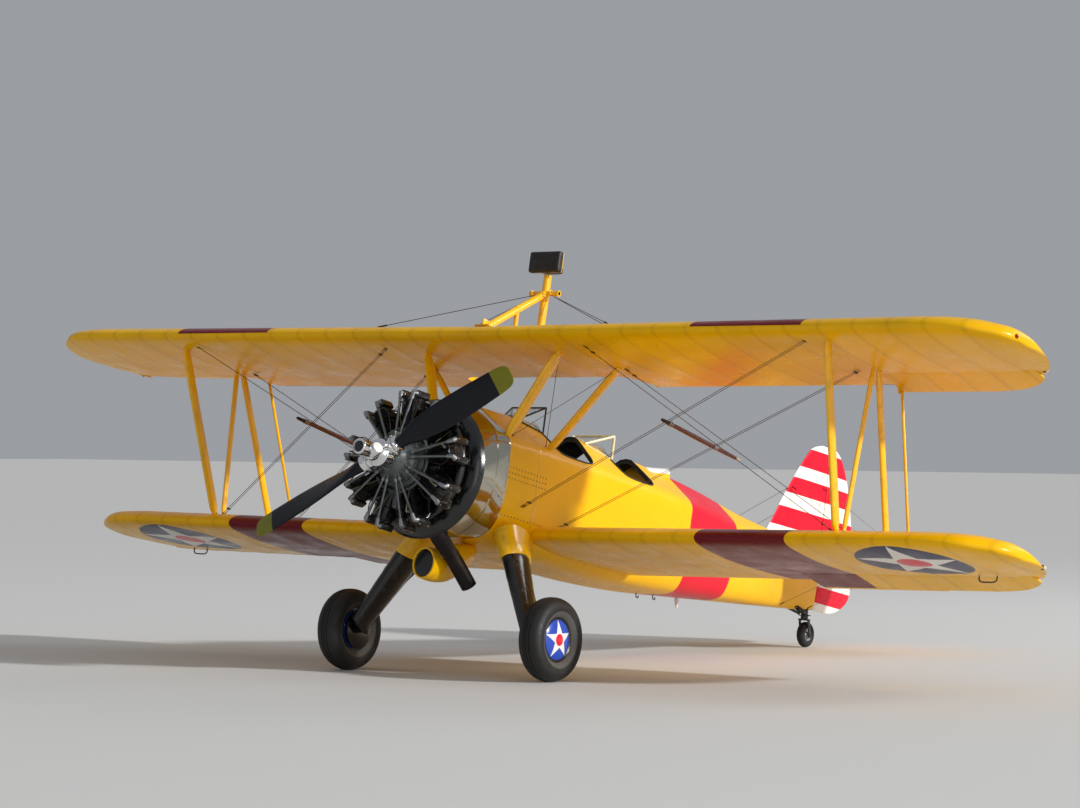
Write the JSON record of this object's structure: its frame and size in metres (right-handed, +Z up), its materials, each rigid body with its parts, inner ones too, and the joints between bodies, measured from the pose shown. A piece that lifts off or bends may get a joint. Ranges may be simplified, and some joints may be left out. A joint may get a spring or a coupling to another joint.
{
  "type": "biplane",
  "caption": "Two-seat open-cockpit biplane trainer with a radial engine, parked on its tail-wheel gear, with a standing rig on the upper wing",
  "frame": {"origin": "On the ground in the plane of symmetry, midway between the nose's and the rudder's ends", "axes": "+X to the aircraft's left wing tip, +Y aft along the ground, +Z up; the aircraft stands tail down on its three wheels"},
  "size_m": [9.8, 7.5304, 3.5341],
  "materials": {
    "body_fabric": "gloss doped yellow",
    "wing_fabric": "gloss doped yellow",
    "tail_fabric": "gloss doped red with white stripes",
    "seat_leather": "dull",
    "pad_leather": "worn",
    "windscreen": "clear",
    "black_metal": "satin",
    "yellow_metal": "gloss",
    "bare_aluminium": "polished",
    "engine_case": "satin",
    "engine_iron": "satin",
    "exhaust_steel": "heat stained",
    "wire_steel": "satin",
    "wheel_paint": "gloss",
    "tyre": "matte",
    "tail_tyre": "matte",
    "blade_paint": "satin"
  },
  "bodies": {
    "airframe": {"fuselage": "body_fabric", "seat_front": "seat_leather", "seat_rear": "seat_leather", "windscreen_front_glass": "windscreen", "windscreen_front_frame": "black_metal", "windscreen_rear_glass": "windscreen", "windscreen_rear_frame": "yellow_metal", "accessory_cowl": "bare_aluminium", "engine_baffle": "black_metal", "engine_crankcase": "engine_case", "engine_cylinders": "engine_iron", "exhaust_pipe": "exhaust_steel", "air_scoop": "yellow_metal", "upper_wing_center": "wing_fabric", "upper_wing_left": "wing_fabric", "upper_wing_right": "wing_fabric", "lower_wing_left": "wing_fabric", "lower_wing_right": "wing_fabric", "strut_front_left": "yellow_metal", "strut_front_right": "yellow_metal", "strut_diagonal_left": "yellow_metal", "strut_diagonal_right": "yellow_metal", "strut_rear_left": "yellow_metal", "strut_rear_right": "yellow_metal", "cabane_front_left": "yellow_metal", "cabane_front_right": "yellow_metal", "cabane_rear_left": "yellow_metal", "cabane_rear_right": "yellow_metal", "flying_wires_front_left": "wire_steel", "flying_wires_front_right": "wire_steel", "flying_wires_rear_left": "wire_steel", "flying_wires_rear_right": "wire_steel", "gear_fairing_left": "yellow_metal", "gear_leg_left": "black_metal", "gear_fairing_right": "yellow_metal", "gear_leg_right": "black_metal", "fin": "tail_fabric", "tailplane_left": "wing_fabric", "tailplane_right": "wing_fabric", "tail_wheel_bracket": "black_metal", "rig_frame": "yellow_metal", "rig_pad": "pad_leather"},
    "propeller": {"prop_hub": "bare_aluminium", "prop_blade_a": "blade_paint", "prop_blade_b": "blade_paint"},
    "wheel_left": {"wheel_left": "wheel_paint", "tyre_left": "tyre"},
    "wheel_right": {"wheel_right": "wheel_paint", "tyre_right": "tyre"},
    "rudder": {"rudder": "tail_fabric"},
    "elevator": {"elevator": "wing_fabric"},
    "upper_aileron_left": {"upper_aileron_left": "wing_fabric"},
    "upper_aileron_right": {"upper_aileron_right": "wing_fabric"},
    "lower_aileron_left": {"lower_aileron_left": "wing_fabric"},
    "lower_aileron_right": {"lower_aileron_right": "wing_fabric"},
    "aileron_link_left": {"aileron_link_left": "yellow_metal"},
    "aileron_link_right": {"aileron_link_right": "yellow_metal"},
    "tail_fork": {"tail_wheel_fork": "black_metal"},
    "tail_wheel": {"tail_wheel": "tail_tyre"}
  },
  "joints": [
    {"name": "propeller_turn", "type": "hinge", "parent": "airframe", "child": "propeller", "pos_m": [0, -3.46033, 1.80848], "axis": [0, -0.9796, 0.2011], "continuous": true},
    {"name": "wheel_left_roll", "type": "hinge", "parent": "airframe", "child": "wheel_left", "pos_m": [1.036, -2.57288, 0.338], "axis": [1, 0, 0], "continuous": true},
    {"name": "wheel_right_roll", "type": "hinge", "parent": "airframe", "child": "wheel_right", "pos_m": [-1.036, -2.57288, 0.338], "axis": [1, 0, 0], "continuous": true},
    {"name": "rudder_swing", "type": "hinge", "parent": "airframe", "child": "rudder", "pos_m": [0, 3.14578, 0.6954], "axis": [0, 0.2011, 0.9796], "range_deg": [-30, 30]},
    {"name": "elevator_swing", "type": "hinge", "parent": "airframe", "child": "elevator", "pos_m": [0, 3.00916, 0.82553], "axis": [1, 0, 0], "range_deg": [-20, 28]},
    {"name": "lower_aileron_left_swing", "type": "hinge", "parent": "airframe", "child": "lower_aileron_left", "pos_m": [3.405, -0.91137, 0.92494], "axis": [0.9999, 0.0025, 0.012], "range_deg": [-15, 35]},
    {"name": "lower_aileron_right_swing", "type": "hinge", "parent": "airframe", "child": "lower_aileron_right", "pos_m": [-3.405, -0.91137, 0.92494], "axis": [0.9999, -0.0025, -0.012], "range_deg": [-35, 15]},
    {"name": "upper_aileron_left_swing", "type": "hinge", "parent": "airframe", "child": "upper_aileron_left", "pos_m": [3.9625, -1.24202, 2.5275], "axis": [1, 0.0014, 0.0068], "range_deg": [-15, 35]},
    {"name": "upper_aileron_right_swing", "type": "hinge", "parent": "airframe", "child": "upper_aileron_right", "pos_m": [-3.9625, -1.24202, 2.5275], "axis": [1, -0.0014, -0.0068], "range_deg": [-35, 15]},
    {"name": "aileron_link_left_swing", "type": "hinge", "parent": "lower_aileron_left", "child": "aileron_link_left", "pos_m": [3.22752, -0.67896, 0.85545], "axis": [0.9999, 0.0025, 0.012], "range_deg": [-38, 17]},
    {"name": "aileron_link_right_swing", "type": "hinge", "parent": "lower_aileron_right", "child": "aileron_link_right", "pos_m": [-3.22649, -0.66996, 0.93914], "axis": [0.9999, -0.0025, -0.012], "range_deg": [-17, 38]},
    {"name": "tail_fork_swivel", "type": "hinge", "parent": "airframe", "child": "tail_fork", "pos_m": [0, 2.92205, 0.27684], "axis": [0, 0.2011, 0.9796], "range_deg": [-30, 30]},
    {"name": "tail_wheel_roll", "type": "hinge", "parent": "tail_fork", "child": "tail_wheel", "pos_m": [0, 2.94401, 0.12023], "axis": [1, 0, 0], "continuous": true}
  ],
  "couplings": [
    {"joint": "tail_fork_swivel", "follows": "rudder_swing", "ratio": 1},
    {"joint": "upper_aileron_left_swing", "follows": "lower_aileron_left_swing", "ratio": 1},
    {"joint": "lower_aileron_right_swing", "follows": "lower_aileron_left_swing", "ratio": -1},
    {"joint": "upper_aileron_right_swing", "follows": "lower_aileron_left_swing", "ratio": -1},
    {"joint": "aileron_link_left_swing", "follows": "lower_aileron_left_swing", "ratio": -1.073},
    {"joint": "aileron_link_right_swing", "follows": "lower_aileron_left_swing", "ratio": 1.073}
  ]
}
